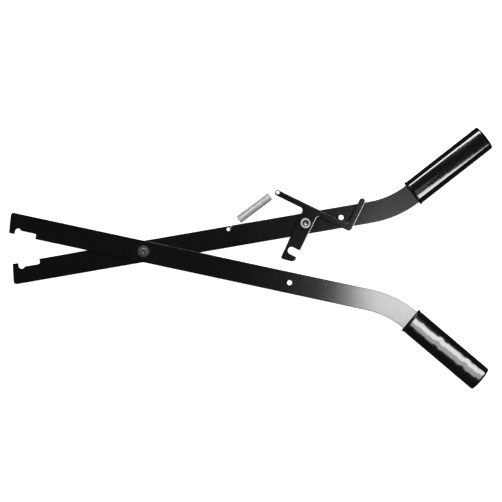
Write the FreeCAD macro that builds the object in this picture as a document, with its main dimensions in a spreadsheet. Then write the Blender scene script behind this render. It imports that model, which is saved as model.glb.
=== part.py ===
"""Latching lever tongs: two crossing flat-bar levers on one pivot screw, with hooked jaws at one end,
bent handles with grips at the other, and a sprung latch plate that locks the handles together.

Frame: +X runs from the jaws to the handles, +Y towards the back lever's handle, +Z up.
The origin is under the middle of the tool's outer box, on the surface that the tool lies on.
Each piece is modelled in a frame of its own and put in its place at the end. Lengths are in millimetres.
"""
import math
import os

import FreeCAD
import Part
import Sketcher

Vector = FreeCAD.Vector
UP = Vector(0, 0, 1)
SAME_POINT = 1e-4
HEX_SIDES = 6
HEX_TURN = 15
OUT_DIR = "parts"
DIMENSION_NAME = "dims"

# name, value, what it measures
DIMENSIONS = [
    ("bar_width", 31.75, "width of the flat bar that both levers are cut from"),
    ("bar_thickness", 4.76, "thickness of the flat bar and of the latch plate"),
    ("edge_break", 0.5, "rounding of the bars' and the latch's long edges"),
    ("lever_spread", 21.9, "angle between the two levers at rest"),
    ("front_reach", 204.1, "pivot to the far corner of the front jaw"),
    ("back_reach", 198.6, "pivot to the far corner of the back jaw"),
    ("jaw_slant", 3.6, "how much shorter a jaw is on its hooked side"),
    ("jaw_corner_radius", 4.4, "rounding of a jaw's plain corner"),
    ("hook_width", 8.1, "width of the hook at the tip of a jaw"),
    ("hook_relief", 0.8, "how far the hook's tip stands back from the bar's edge"),
    ("hook_tip_radius", 1.2, "rounding of the hook's tip"),
    ("recess_length", 31.9, "length of the recess behind the hook"),
    ("recess_depth", 7.6, "depth of that recess"),
    ("recess_radius", 2.2, "rounding inside the recess's far corner"),
    ("notch_radius", 4.6, "radius of the round notch behind the hook"),
    ("notch_depth", 5.7, "depth of the notch's centre below the bar's edge"),
    ("bend_corner", 376.8, "pivot to where the bar's and the handle's centre lines would cross"),
    ("bend_angle", 28.2, "how far the handle is bent outwards"),
    ("bend_radius", 139.5, "centre-line radius of that bend"),
    ("grip_length", 137.5, "overall length of a grip"),
    ("grip_side_wall", 3.525, "wall of a grip beside the bar's edges"),
    ("grip_crown_wall", 6.67, "wall of a grip over the bar's flat sides"),
    ("grip_crown_rise", 0.55, "how far a grip's wide faces bulge beyond its rounded sides"),
    ("grip_end_radius", 4.0, "rounding of a grip's closed end"),
    ("grip_end_wall", 9.0, "wall of a grip beyond the end of its bar"),
    ("lip_rise", 1.2, "how far the lip at a grip's mouth stands proud"),
    ("lip_length", 2.6, "length of that lip"),
    ("running_gap", 0.06, "clearance between surfaces that turn on each other"),
    ("screw_radius", 5.0, "radius of the pivot screw and of the latch screw"),
    ("pivot_head_radius", 9.0, "radius of the pivot screw's button head"),
    ("pivot_head_height", 5.5, "height of the button head"),
    ("pivot_head_rim", 0.8, "height of the button head's upright rim"),
    ("pivot_socket", 6.0, "width across the flats of the button head's hex socket"),
    ("pivot_socket_depth", 3.2, "depth of that socket"),
    ("latch_head_radius", 8.0, "radius of the latch screw's socket head"),
    ("latch_head_height", 10.0, "height of the socket head"),
    ("latch_head_chamfer", 0.9, "chamfer round the socket head's top"),
    ("latch_socket", 8.0, "width across the flats of the socket head's hex socket"),
    ("latch_socket_depth", 5.5, "depth of that socket"),
    ("nut_flats", 16.0, "width of a lock nut across its flats"),
    ("nut_height", 8.5, "overall height of a lock nut"),
    ("nut_corner_margin", 1.0, "how far outside a nut's corners the cutter of its chamfer reaches"),
    ("collar_height", 2.4, "height of a lock nut's round collar"),
    ("collar_wall", 1.0, "wall of that collar round its nylon ring"),
    ("insert_wall", 1.3, "wall of the nylon ring in the collar"),
    ("insert_drop", 0.4, "how far the nylon ring sits inside the collar's end"),
    ("washer_radius", 10.0, "outer radius of the washer under a lock nut"),
    ("washer_clearance", 0.25, "clearance between that washer and the screw"),
    ("washer_thickness", 1.6, "thickness of that washer"),
    ("thrust_radius", 12.7, "outer radius of the nylon washer between the levers"),
    ("thrust_thickness", 0.8, "thickness of that nylon washer"),
    ("latch_along", 242.6, "main pivot to the latch's pivot along the back lever"),
    ("latch_turn", 35.9, "angle from the back lever down to the latch's arms at rest"),
    ("latch_lift", 0.9, "clearance between the latch and the front lever's top"),
    ("bush_shoulder", 1.5, "how far the latch bush is wider below the latch than inside it"),
    ("bearing_wall", 1.5, "wall of the latch bush inside the latch"),
    ("bearing_proud", 0.2, "how far the bush stands above the latch, so that the screw doesn't pinch it"),
    ("arm_top", 27.0, "latch pivot to the upper edge of the latch's arms"),
    ("arm_width", 8.7, "width of the latch's arms"),
    ("arm_corner_radius", 2.4, "rounding of the spring arm's end"),
    ("spring_arm_reach", 60.4, "latch pivot to the end of the spring arm"),
    ("leg_left", 11.8, "latch pivot to the leg's left edge"),
    ("leg_right", 11.1, "latch pivot to the leg's right edge"),
    ("leg_taper", 1.4, "how much the leg's left edge leans in towards its foot"),
    ("inner_radius", 4.5, "rounding where the arms meet the leg"),
    ("finger_right", 65.5, "latch pivot to the finger lever's outer edge"),
    ("finger_width", 8.9, "width of the finger lever"),
    ("finger_top", 71.0, "latch pivot to the finger lever's tip"),
    ("finger_tip_radius", 4.2, "rounding of the finger lever's tip"),
    ("finger_heel_radius", 4.5, "rounding of the finger lever's outer lower corner"),
    ("finger_root_radius", 5.0, "rounding inside the finger lever's root"),
    ("slot_centre", 44.9, "latch pivot to the centre line of the hook's slot"),
    ("slot_width", 10.8, "width of that slot"),
    ("foot_drop", 62.9, "latch pivot to the foot of the hook at its left corner"),
    ("foot_rise", 3.7, "how far the hook's foot slopes up to its right corner"),
    ("foot_nose", 7.4, "latch pivot to the start of the hook's slanted nose"),
    ("nose_height", 3.6, "height of that slanted nose"),
    ("foot_radius", 3.4, "rounding of the foot's left corner"),
    ("nose_radius", 1.6, "rounding of the hook's nose and of the slot's mouth"),
    ("pin_radius", 4.0, "radius of the catch pin and of the stop pin"),
    ("pin_proud", 0.9, "how far the pins stand above the latch"),
    ("pin_chamfer", 0.5, "chamfer round the pins' ends"),
    ("catch_along", 220.7, "main pivot to the catch pin along the front lever"),
    ("stop_along", 43.6, "place of the stop pin along the latch's arm, from the latch's pivot"),
    ("spring_hole_along", 129.2, "main pivot to the spring's hole along the back lever"),
    ("spring_hole_inset", 4.875, "back lever's outer edge to the centre of that hole"),
    ("spring_hole_radius", 2.5, "radius of that hole"),
    ("arm_hole_inset", 4.1, "spring arm's end to the centre of its hole"),
    ("arm_hole_drop", 3.6, "arm's upper edge to the centre of its hole"),
    ("arm_hole_radius", 2.2, "radius of that hole"),
    ("coil_radius", 6.2, "outer radius of the spring's coil"),
    ("coil_offset", 2.3, "how far the coil stands outside the straight line from hole to hole"),
    ("wire_radius", 0.55, "radius of the spring's wire"),
    ("coil_stand_off", 4.117, "back lever's edge to the middle of the coil's lower end"),
    ("upper_hook", 12.0, "end of the coil to the spring arm's hole"),
    ("coil_lift", 1.2, "height of the coil's lower end above the wire on the back lever"),
    ("arm_step", 6.5, "spring arm's hole to where the wire has risen over the arm's end"),
    ("wire_bend", 1.6, "bend radius where the wire turns down into a hole"),
    ("wire_tail", 2.2, "how far the wire's ends stand out under the plates"),
]


def make_sheet(document):
    """The spreadsheet that holds every driving dimension under its own name."""
    sheet = document.addObject("Spreadsheet::Sheet", DIMENSION_NAME)
    for row, (name, value, meaning) in enumerate(DIMENSIONS, 1):
        sheet.set(f"A{row}", name)
        sheet.set(f"B{row}", str(value))
        sheet.setAlias(f"B{row}", name)
        sheet.set(f"C{row}", meaning)
    return sheet


doc = FreeCAD.newDocument("latching_tongs")
dims = make_sheet(doc)
doc.recompute()


def size(name):
    """A driving dimension as a number."""
    return float(getattr(dims, name))


# ---------------------------------------------------------------------------------------------
# Sketch and feature helpers: every length is an expression on the sheet
# ---------------------------------------------------------------------------------------------

def number(owner, expression):
    """The present value of an expression on the sheet."""
    result = owner.evalExpression(expression)
    return float(getattr(result, "Value", result))


def new_body(name):
    body = doc.addObject("PartDesign::Body", name)
    body.Label = name
    return body


def new_sketch(body, name, plane="XY_Plane", lift="0 mm"):
    """An empty sketch on one of the body's own origin planes, lifted along that plane's normal."""
    sketch = body.newObject("Sketcher::SketchObject", name)
    support = next(f for f in body.Origin.OriginFeatures if f.Role == plane)
    sketch.AttachmentSupport = [(support, "")]
    sketch.MapMode = "FlatFace"
    sketch.setExpression("AttachmentOffset.Base.z", lift)
    return sketch


def pin_point(sketch, geometry, end, x, y):
    """Tie one point of a sketch to the place given by two expressions."""
    for kind, axis, expression in (("DistanceX", -2, x), ("DistanceY", -1, y)):
        if expression == "0":
            sketch.addConstraint(Sketcher.Constraint("PointOnObject", geometry, end, axis))
            continue
        value = number(sketch, expression)
        index = sketch.addConstraint(Sketcher.Constraint(kind, -1, 1, geometry, end, value))
        sketch.setExpression(f"Constraints[{index}]", expression)


def draw_polygon(sketch, corners):
    """A closed outline of straight edges through corners given as pairs of expressions."""
    points = [Vector(number(sketch, x), number(sketch, y), 0) for x, y in corners]
    first = sketch.GeometryCount
    count = len(points)
    for index, start in enumerate(points):
        sketch.addGeometry(Part.LineSegment(start, points[(index + 1) % count]), False)
    for index in range(count):
        following = first + (index + 1) % count
        sketch.addConstraint(Sketcher.Constraint("Coincident", first + index, 2, following, 1))
    for index, (x, y) in enumerate(corners):
        pin_point(sketch, first + index, 1, x, y)


def draw_circle(sketch, x, y, radius):
    """A circle whose centre and radius are expressions."""
    centre = Vector(number(sketch, x), number(sketch, y), 0)
    value = number(sketch, radius)
    geometry = sketch.addGeometry(Part.Circle(centre, UP, value), False)
    pin_point(sketch, geometry, 3, x, y)
    index = sketch.addConstraint(Sketcher.Constraint("Radius", geometry, value))
    sketch.setExpression(f"Constraints[{index}]", radius)


def draw_hexagon(sketch, across_flats):
    """A hexagon round the sketch's origin, as wide across its flats as the expression says."""
    corners = []
    for index in range(HEX_SIDES):
        angle = index * 360 / HEX_SIDES + HEX_TURN
        reach = f"{across_flats} / 2 / cos(30 deg)"
        corners.append((f"{reach} * cos({angle} deg)", f"{reach} * sin({angle} deg)"))
    draw_polygon(sketch, corners)


def extrude(body, kind, name, sketch, length):
    """A Pad that rises from its sketch, or a Pocket that cuts down from it."""
    feature = body.newObject(f"PartDesign::{kind}", name)
    feature.Profile = sketch
    feature.setExpression("Length", length)
    sketch.Visibility = False
    doc.recompute()
    return feature


def revolve(body, kind, name, sketch, axis, angle="360 deg", backwards=False):
    """A Revolution or Groove of a sketch round one of the sketch's own axes."""
    feature = body.newObject(f"PartDesign::{kind}", name)
    feature.Profile = sketch
    feature.ReferenceAxis = (sketch, [axis])
    feature.Reversed = backwards
    feature.setExpression("Angle", angle)
    doc.recompute()
    return feature


def round_upright_edges(body, name, corners, radius):
    """Round the upright edges that stand at the given corners of the body."""
    base = body.Tip
    places = [Vector(number(body, x), number(body, y), 0) for x, y in corners]
    chosen = []
    for index, edge in enumerate(base.Shape.Edges, 1):
        ends = [vertex.Point for vertex in edge.Vertexes]
        upright = len(ends) == 2 and (ends[0] - ends[1]).cross(UP).Length < SAME_POINT
        if upright and any((Vector(ends[0].x, ends[0].y, 0) - p).Length < SAME_POINT for p in places):
            chosen.append(f"Edge{index}")
    if len(chosen) != len(places):
        raise ValueError(f"{body.Label}: {name} found {len(chosen)} of {len(places)} corners")
    return dress(body, "Fillet", name, chosen, "Radius", radius)


def dress(body, kind, name, elements, setting, value):
    """A Fillet or Chamfer on named edges or faces of the body's latest feature."""
    base = body.Tip
    feature = body.newObject(f"PartDesign::{kind}", name)
    feature.Base = (base, elements)
    feature.setExpression(setting, value)
    doc.recompute()
    return feature


def flat_faces(shape, heights):
    """Names of the level faces at the given heights."""
    names = []
    for index, face in enumerate(shape.Faces, 1):
        box = face.BoundBox
        level = box.ZLength < SAME_POINT
        if level and any(abs(box.ZMin - height) < SAME_POINT for height in heights):
            names.append(f"Face{index}")
    return names


def circle_edges(shape, height, radius):
    """Names of the round edges of the given radius at the given height."""
    return [
        f"Edge{index}" for index, edge in enumerate(shape.Edges, 1)
        if isinstance(edge.Curve, Part.Circle)
        and abs(edge.Curve.Radius - radius) < SAME_POINT
        and abs(edge.Curve.Center.z - height) < SAME_POINT
    ]


def drill(body, name, holes, top, depth):
    """Round holes cut down from a level top; each hole is an x, a y and a radius expression."""
    sketch = new_sketch(body, f"{name}_sketch", lift=top)
    for x, y, radius in holes:
        draw_circle(sketch, x, y, radius)
    return extrude(body, "Pocket", name, sketch, depth)


def break_plate_edges(body, thickness):
    """Round every edge of a plate's two level faces."""
    faces = flat_faces(body.Tip.Shape, (0.0, thickness))
    return dress(body, "Fillet", f"{body.Label}_edge_break", faces, "Radius", "dims.edge_break")


# ---------------------------------------------------------------------------------------------
# The levers: a straight bar with a hooked jaw, an outward bend and a straight tang in the grip
# Frame: origin on the main pivot, +X along the bar to the handle, z = 0 on the bar's underside
# ---------------------------------------------------------------------------------------------

HALF_BAR = "dims.bar_width / 2"
WASHER_BORE = "(dims.screw_radius + dims.washer_clearance)"
INSERT_RADIUS = "(dims.screw_radius + dims.insert_wall)"
COLLAR_RADIUS = "(dims.screw_radius + dims.insert_wall + dims.collar_wall)"
BEARING_RADIUS = "(dims.screw_radius + dims.bearing_wall)"
BUSH_RADIUS = "(dims.screw_radius + dims.bearing_wall + dims.bush_shoulder)"
BEND_TANGENT = "dims.bend_radius * tan(dims.bend_angle * 1 deg / 2)"
BEND_START = f"(dims.bend_corner - {BEND_TANGENT})"
BEND_END_ALONG = f"({BEND_START} + dims.bend_radius * sin(dims.bend_angle * 1 deg))"
BEND_END_ACROSS = "(dims.bend_radius * (1 - cos(dims.bend_angle * 1 deg)))"
TANG_LENGTH = "(dims.grip_length - dims.grip_end_wall)"


def make_lever(name, reach, side, holes):
    """One lever. side is +1 where the hook and the bend face +Y, and -1 where they face -Y."""
    body = new_body(name)
    tip = f"(dims.jaw_slant - dims.{reach})"
    hook_inner = f"({tip} + dims.hook_width)"
    step = f"({hook_inner} + dims.recess_length)"
    edge = f"{side} * {HALF_BAR}"
    plain_edge = f"{-side} * {HALF_BAR}"
    hook_edge = f"{side} * ({HALF_BAR} - dims.hook_relief)"
    recess_edge = f"{side} * ({HALF_BAR} - dims.recess_depth)"

    outline = new_sketch(body, f"{name}_outline")
    draw_polygon(outline, [
        (f"-dims.{reach}", plain_edge), (BEND_START, plain_edge), (BEND_START, edge), (step, edge),
        (step, recess_edge), (hook_inner, recess_edge), (hook_inner, hook_edge), (tip, hook_edge),
    ])
    extrude(body, "Pad", f"{name}_bar", outline, "dims.bar_thickness")

    section = new_sketch(body, f"{name}_section", "YZ_Plane", BEND_START)
    draw_polygon(section, [
        (f"-{HALF_BAR}", "0"), (HALF_BAR, "0"),
        (HALF_BAR, "dims.bar_thickness"), (f"-{HALF_BAR}", "dims.bar_thickness"),
    ])
    bend_centre = f"{side} * dims.bend_radius"
    axis_foot = Vector(number(body, bend_centre), 0, 0)
    axis_top = axis_foot + Vector(0, size("bar_thickness"), 0)
    axis = section.addGeometry(Part.LineSegment(axis_foot, axis_top), True)
    pin_point(section, axis, 1, bend_centre, "0")
    pin_point(section, axis, 2, bend_centre, "dims.bar_thickness")
    revolve(body, "Revolution", f"{name}_bend", section, "Axis0", "dims.bend_angle * 1 deg", side < 0)

    tang = new_sketch(body, f"{name}_tang_outline")
    tang.AttachmentOffset = FreeCAD.Placement(Vector(), FreeCAD.Rotation(UP, size("bend_angle")))
    tang.setExpression("AttachmentOffset.Base.x", BEND_END_ALONG)
    tang.setExpression("AttachmentOffset.Base.y", f"{side} * {BEND_END_ACROSS}")
    tang.setExpression("AttachmentOffset.Rotation.Angle", f"{side} * dims.bend_angle * 1 deg")
    draw_polygon(tang, [
        ("0", f"-{HALF_BAR}"), (TANG_LENGTH, f"-{HALF_BAR}"), (TANG_LENGTH, HALF_BAR), ("0", HALF_BAR),
    ])
    extrude(body, "Pad", f"{name}_tang", tang, "dims.bar_thickness")

    roundings = [
        ("jaw_corner", [(f"-dims.{reach}", plain_edge)], "dims.jaw_corner_radius"),
        ("recess_corner", [(step, recess_edge)], "dims.recess_radius"),
        ("hook_tip", [(tip, hook_edge), (hook_inner, hook_edge), (step, edge)], "dims.hook_tip_radius"),
    ]
    for part, corners, radius in roundings:
        round_upright_edges(body, f"{name}_{part}", corners, radius)
    notch_along = f"{hook_inner} + dims.notch_radius"
    notch_across = f"{side} * ({HALF_BAR} - dims.notch_depth)"
    notch = (notch_along, notch_across, "dims.notch_radius")
    drill(body, f"{name}_notch", [notch], "dims.bar_thickness", "dims.bar_thickness")
    pivot = ("0", "0", "dims.screw_radius + dims.running_gap")
    drill(body, f"{name}_holes", [pivot] + holes, "dims.bar_thickness", "dims.bar_thickness")
    break_plate_edges(body, size("bar_thickness"))
    return body


# The stop pin touches the upper edge of the latch's arm, so its place follows the latch's angle at rest.
STOP_RISE = "(dims.arm_top + dims.pin_radius + dims.running_gap)"
STOP_X = (f"(dims.latch_along + dims.stop_along * cos(dims.latch_turn * 1 deg)"
          f" + {STOP_RISE} * sin(dims.latch_turn * 1 deg))")
STOP_Y = (f"({STOP_RISE} * cos(dims.latch_turn * 1 deg)"
          f" - dims.stop_along * sin(dims.latch_turn * 1 deg))")

back_lever = make_lever("back_lever", "back_reach", 1, [
    ("dims.latch_along", "0", "dims.screw_radius + dims.running_gap"),
    (STOP_X, STOP_Y, "dims.pin_radius"),
    ("dims.spring_hole_along", f"{HALF_BAR} - dims.spring_hole_inset", "dims.spring_hole_radius"),
])
front_lever = make_lever("front_lever", "front_reach", -1, [
    ("dims.catch_along", "0", "dims.pin_radius"),
])


# ---------------------------------------------------------------------------------------------
# The grips: an oval sleeve with a lip at its mouth, a closed end and a flat pocket for the bar
# Frame: origin in the middle of the mouth, +X along the tang, z = 0 in the middle of the bar
# ---------------------------------------------------------------------------------------------

def draw_oval(sketch, growth):
    """An oval of four tangent arcs: two shallow crowns and two narrow sides, grown by an expression.

    A crown's centre lies below the middle by the drop that makes it touch the side arcs smoothly, and the
    arcs meet on the line through both centres.
    """
    half_width = f"({HALF_BAR} + dims.grip_side_wall)"
    half_height = "(dims.bar_thickness / 2 + dims.grip_crown_wall)"
    side_radius = f"({half_height} - dims.grip_crown_rise)"
    side = f"({side_radius} + {growth})"
    inset = f"({half_width} - {side_radius})"
    drop = f"(({inset} ^ 2 - dims.grip_crown_rise ^ 2) / (2 * dims.grip_crown_rise))"
    crown = f"({half_height} + {growth} + {drop})"
    meeting_x = f"({inset} * (1 + {side} / ({crown} - {side})))"
    meeting_y = f"({side} * {drop} / ({crown} - {side}))"
    meetings = [(meeting_x, meeting_y), (f"-{meeting_x}", meeting_y),
                (f"-{meeting_x}", f"-{meeting_y}"), (meeting_x, f"-{meeting_y}")]
    top = number(sketch, f"{half_height} + {growth}")
    flank = number(sketch, f"{half_width} + {growth}")
    middles = [Vector(0, top, 0), Vector(-flank, 0, 0), Vector(0, -top, 0), Vector(flank, 0, 0)]
    points = [Vector(number(sketch, x), number(sketch, y), 0) for x, y in meetings]
    for index, middle in enumerate(middles):
        sketch.addGeometry(Part.Arc(points[index], middle, points[(index + 1) % 4]), False)
    for index, (x, y) in enumerate(meetings):
        sketch.addConstraint(Sketcher.Constraint("Coincident", index - 1 if index else 3, 2, index, 1))
        pin_point(sketch, index, 1, x, y)
    for index, radius in enumerate((crown, side, crown, side)):
        value = number(sketch, radius)
        place = sketch.addConstraint(Sketcher.Constraint("Radius", index, value))
        sketch.setExpression(f"Constraints[{place}]", radius)


def make_grip(name):
    """One grip, drawn on the plane across the bar."""
    body = new_body(name)
    sleeve = new_sketch(body, f"{name}_oval", "YZ_Plane")
    draw_oval(sleeve, "0")
    sleeve_pad = extrude(body, "Pad", f"{name}_sleeve", sleeve, "dims.grip_length")
    far_edges = [
        f"Edge{index}" for index, edge in enumerate(sleeve_pad.Shape.Edges, 1)
        if edge.BoundBox.XLength < SAME_POINT
        and abs(edge.BoundBox.XMin - size("grip_length")) < SAME_POINT
    ]
    dress(body, "Fillet", f"{name}_closed_end", far_edges, "Radius", "dims.grip_end_radius")
    lip = new_sketch(body, f"{name}_lip_oval", "YZ_Plane")
    draw_oval(lip, "dims.lip_rise")
    extrude(body, "Pad", f"{name}_lip", lip, "dims.lip_length")
    pocket_outline = new_sketch(body, f"{name}_pocket_outline", "YZ_Plane", TANG_LENGTH)
    half_thick = "dims.bar_thickness / 2"
    draw_polygon(pocket_outline, [
        (f"-{HALF_BAR}", f"-{half_thick}"), (HALF_BAR, f"-{half_thick}"),
        (HALF_BAR, half_thick), (f"-{HALF_BAR}", half_thick),
    ])
    extrude(body, "Pocket", f"{name}_pocket", pocket_outline, TANG_LENGTH)
    return body


back_grip = make_grip("back_grip")
front_grip = make_grip("front_grip")


# ---------------------------------------------------------------------------------------------
# The latch plate. Frame: origin on the latch's pivot, +X along the arms to the finger lever
# ---------------------------------------------------------------------------------------------

def make_latch():
    """A plate with a leg and hook, a spring arm to the left and an arm with a finger lever to the right."""
    body = new_body("latch_plate")
    arm_low = "(dims.arm_top - dims.arm_width)"
    left_end = "-dims.spring_arm_reach"
    foot_left = "(dims.leg_taper - dims.leg_left)"
    foot_low = "-dims.foot_drop"
    nose_low = "(dims.foot_rise - dims.foot_drop)"
    nose_top = "(dims.foot_rise + dims.nose_height - dims.foot_drop)"
    slot_low = "-(dims.slot_centre + dims.slot_width / 2)"
    slot_high = "-(dims.slot_centre - dims.slot_width / 2)"
    finger_left = "(dims.finger_right - dims.finger_width)"
    outline = new_sketch(body, "latch_outline")
    draw_polygon(outline, [
        (left_end, arm_low), ("-dims.leg_left", arm_low),
        (foot_left, foot_low), ("dims.foot_nose", nose_low), ("dims.leg_right", nose_top),
        ("dims.leg_right", slot_low), ("0", slot_low), ("0", slot_high), ("dims.leg_right", slot_high),
        ("dims.leg_right", arm_low), ("dims.finger_right", arm_low),
        ("dims.finger_right", "dims.finger_top"), (finger_left, "dims.finger_top"),
        (finger_left, "dims.arm_top"), (left_end, "dims.arm_top"),
    ])
    extrude(body, "Pad", "latch_blank", outline, "dims.bar_thickness")
    roundings = [
        ("arm_end", [(left_end, arm_low), (left_end, "dims.arm_top")], "dims.arm_corner_radius"),
        ("inner_corners", [("-dims.leg_left", arm_low), ("dims.leg_right", arm_low)], "dims.inner_radius"),
        ("foot_corner", [(foot_left, foot_low)], "dims.foot_radius"),
        ("nose_corners", [("dims.foot_nose", nose_low), ("dims.leg_right", nose_top),
                          ("dims.leg_right", slot_low), ("dims.leg_right", slot_high)], "dims.nose_radius"),
        ("finger_tip", [("dims.finger_right", "dims.finger_top"), (finger_left, "dims.finger_top")],
         "dims.finger_tip_radius"),
        ("finger_heel", [("dims.finger_right", arm_low)], "dims.finger_heel_radius"),
        ("finger_root", [(finger_left, "dims.arm_top")], "dims.finger_root_radius"),
    ]
    for name, corners, radius in roundings:
        round_upright_edges(body, f"latch_{name}", corners, radius)
    drill(body, "latch_slot_end", [("0", "-dims.slot_centre", "dims.slot_width / 2")],
          "dims.bar_thickness", "dims.bar_thickness")
    drill(body, "latch_holes", [
        ("0", "0", f"{BEARING_RADIUS} + dims.running_gap"),
        ("dims.arm_hole_inset - dims.spring_arm_reach", "dims.arm_top - dims.arm_hole_drop",
         "dims.arm_hole_radius"),
    ], "dims.bar_thickness", "dims.bar_thickness")
    break_plate_edges(body, size("bar_thickness"))
    return body


latch_plate = make_latch()


# ---------------------------------------------------------------------------------------------
# Heights of the stack. Each piece's own z = 0 goes to one of these levels.
# ---------------------------------------------------------------------------------------------

WASHER_LEVEL = size("nut_height")
BACK_LEVEL = WASHER_LEVEL + size("washer_thickness")
THRUST_LEVEL = BACK_LEVEL + size("bar_thickness")
FRONT_LEVEL = THRUST_LEVEL + size("thrust_thickness") + size("running_gap")
PIVOT_HEAD_LEVEL = FRONT_LEVEL + size("bar_thickness") + size("running_gap")
LATCH_LEVEL = FRONT_LEVEL + size("bar_thickness") + size("latch_lift")
BUSH_TOP = LATCH_LEVEL + size("bar_thickness") + size("bearing_proud")


def make_ring(name, outer, inner, thickness):
    """A flat ring standing on z = 0; its sizes are expressions."""
    body = new_body(name)
    sketch = new_sketch(body, f"{name}_sketch")
    draw_circle(sketch, "0", "0", outer)
    draw_circle(sketch, "0", "0", inner)
    extrude(body, "Pad", f"{name}_ring", sketch, thickness)
    return body


def make_pin(name, length):
    """A round pin from z = 0, chamfered at its upper end."""
    body = new_body(name)
    sketch = new_sketch(body, f"{name}_sketch")
    draw_circle(sketch, "0", "0", "dims.pin_radius")
    blank = extrude(body, "Pad", f"{name}_blank", sketch, length)
    top = circle_edges(blank.Shape, number(body, length), size("pin_radius"))
    dress(body, "Chamfer", f"{name}_chamfer", top, "Size", "dims.pin_chamfer")
    return body


def make_lock_nut(name):
    """A thin lock nut on its collar: the collar holds the nylon ring, and the hexagon is above it."""
    body = new_body(name)
    hexagon = new_sketch(body, f"{name}_hexagon", lift="dims.collar_height")
    draw_hexagon(hexagon, "dims.nut_flats")
    extrude(body, "Pad", f"{name}_hex", hexagon, "dims.nut_height - dims.collar_height")
    outside = "dims.nut_flats / 2 / cos(30 deg) + dims.nut_corner_margin"
    slope = f"({outside} - dims.nut_flats / 2) * tan(30 deg)"
    cutter = new_sketch(body, f"{name}_corner_cut", "XZ_Plane")
    for face, inwards in (("dims.nut_height", "-"), ("dims.collar_height", "+")):
        draw_polygon(cutter, [
            ("dims.nut_flats / 2", face), (outside, face), (outside, f"{face} {inwards} {slope}"),
        ])
    revolve(body, "Groove", f"{name}_corners", cutter, "V_Axis")
    collar = new_sketch(body, f"{name}_collar_sketch")
    draw_circle(collar, "0", "0", COLLAR_RADIUS)
    extrude(body, "Pad", f"{name}_collar", collar, "dims.collar_height")
    drill(body, f"{name}_bore", [("0", "0", "dims.screw_radius")], "dims.nut_height", "dims.nut_height")
    seat = ("0", "0", INSERT_RADIUS)
    drill(body, f"{name}_seat", [seat], "dims.collar_height", "dims.collar_height")
    return body


def make_insert(name):
    """The nylon ring, which fills the collar's seat but for a small step at its end."""
    height = "dims.collar_height - dims.insert_drop"
    return make_ring(name, INSERT_RADIUS, "dims.screw_radius", height)


def make_pivot_screw():
    """A button head screw: domed head above z = 0, shank below it as far as the nut's end."""
    body = new_body("pivot_screw")
    dome = new_sketch(body, "pivot_head_profile", "XZ_Plane")
    rise = "(dims.pivot_head_height - dims.pivot_head_rim)"
    centre = f"dims.pivot_head_rim - (dims.pivot_head_radius ^ 2 - {rise} ^ 2) / (2 * {rise})"
    corner = Vector(size("pivot_head_radius"), 0, 0)
    start = corner + Vector(0, size("pivot_head_rim"), 0)
    top = Vector(0, size("pivot_head_height"), 0)
    sphere_centre = Vector(0, number(dome, centre), 0)
    half_way_direction = ((start + top) * 0.5 - sphere_centre).normalize()
    half_way = sphere_centre + half_way_direction * (start - sphere_centre).Length
    base = dome.addGeometry(Part.LineSegment(Vector(0, 0, 0), corner), False)
    side = dome.addGeometry(Part.LineSegment(corner, start), False)
    arc = dome.addGeometry(Part.Arc(start, half_way, top), False)
    middle = dome.addGeometry(Part.LineSegment(top, Vector(0, 0, 0)), False)
    for first, second in ((base, side), (arc, middle), (middle, base)):
        dome.addConstraint(Sketcher.Constraint("Coincident", first, 2, second, 1))
    dome.addConstraint(Sketcher.Constraint("Coincident", side, 2, arc, 1))
    pin_point(dome, base, 1, "0", "0")
    pin_point(dome, side, 1, "dims.pivot_head_radius", "0")
    pin_point(dome, side, 2, "dims.pivot_head_radius", "dims.pivot_head_rim")
    pin_point(dome, arc, 3, "0", centre)
    dome.addConstraint(Sketcher.Constraint("PointOnObject", arc, 2, -2))
    revolve(body, "Revolution", "pivot_head", dome, "V_Axis")
    socket = new_sketch(body, "pivot_socket_sketch", lift="dims.pivot_head_height")
    draw_hexagon(socket, "dims.pivot_socket")
    extrude(body, "Pocket", "pivot_socket_cut", socket, "dims.pivot_socket_depth")
    add_shank(body, "pivot", PIVOT_SHANK)
    return body


def make_latch_screw():
    """A socket head screw: straight chamfered head above z = 0, shank below it as far as the nut's end."""
    body = new_body("latch_screw")
    head = new_sketch(body, "latch_head_sketch")
    draw_circle(head, "0", "0", "dims.latch_head_radius")
    blank = extrude(body, "Pad", "latch_head", head, "dims.latch_head_height")
    top = circle_edges(blank.Shape, size("latch_head_height"), size("latch_head_radius"))
    dress(body, "Chamfer", "latch_head_edge", top, "Size", "dims.latch_head_chamfer")
    socket = new_sketch(body, "latch_socket_sketch", lift="dims.latch_head_height")
    draw_hexagon(socket, "dims.latch_socket")
    extrude(body, "Pocket", "latch_socket_cut", socket, "dims.latch_socket_depth")
    add_shank(body, "latch", LATCH_SHANK)
    return body


STACK = "dims.nut_height + dims.washer_thickness + dims.bar_thickness"
PIVOT_SHANK = f"({STACK} + dims.thrust_thickness + dims.bar_thickness + 2 * dims.running_gap)"
BUSH_HEIGHT = ("(dims.thrust_thickness + dims.running_gap + dims.bar_thickness"
               " + dims.latch_lift + dims.bar_thickness + dims.bearing_proud)")
LATCH_SHANK = f"({STACK} + {BUSH_HEIGHT})"


def add_shank(body, name, length):
    """The shank hangs below the head and ends level with the nut's collar."""
    sketch = new_sketch(body, f"{name}_shank_sketch", lift=f"-{length}")
    draw_circle(sketch, "0", "0", "dims.screw_radius")
    extrude(body, "Pad", f"{name}_shank", sketch, length)


def make_bush():
    """A stepped bush round the latch screw: a wide spacer, and a bearing that passes through the latch."""
    body = make_ring("latch_bush", BUSH_RADIUS, "dims.screw_radius",
                     "dims.thrust_thickness + dims.bar_thickness + dims.latch_lift")
    bearing = new_sketch(body, "bearing_sketch")
    draw_circle(bearing, "0", "0", BEARING_RADIUS)
    draw_circle(bearing, "0", "0", "dims.screw_radius")
    extrude(body, "Pad", "bearing", bearing, BUSH_HEIGHT)
    return body


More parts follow.
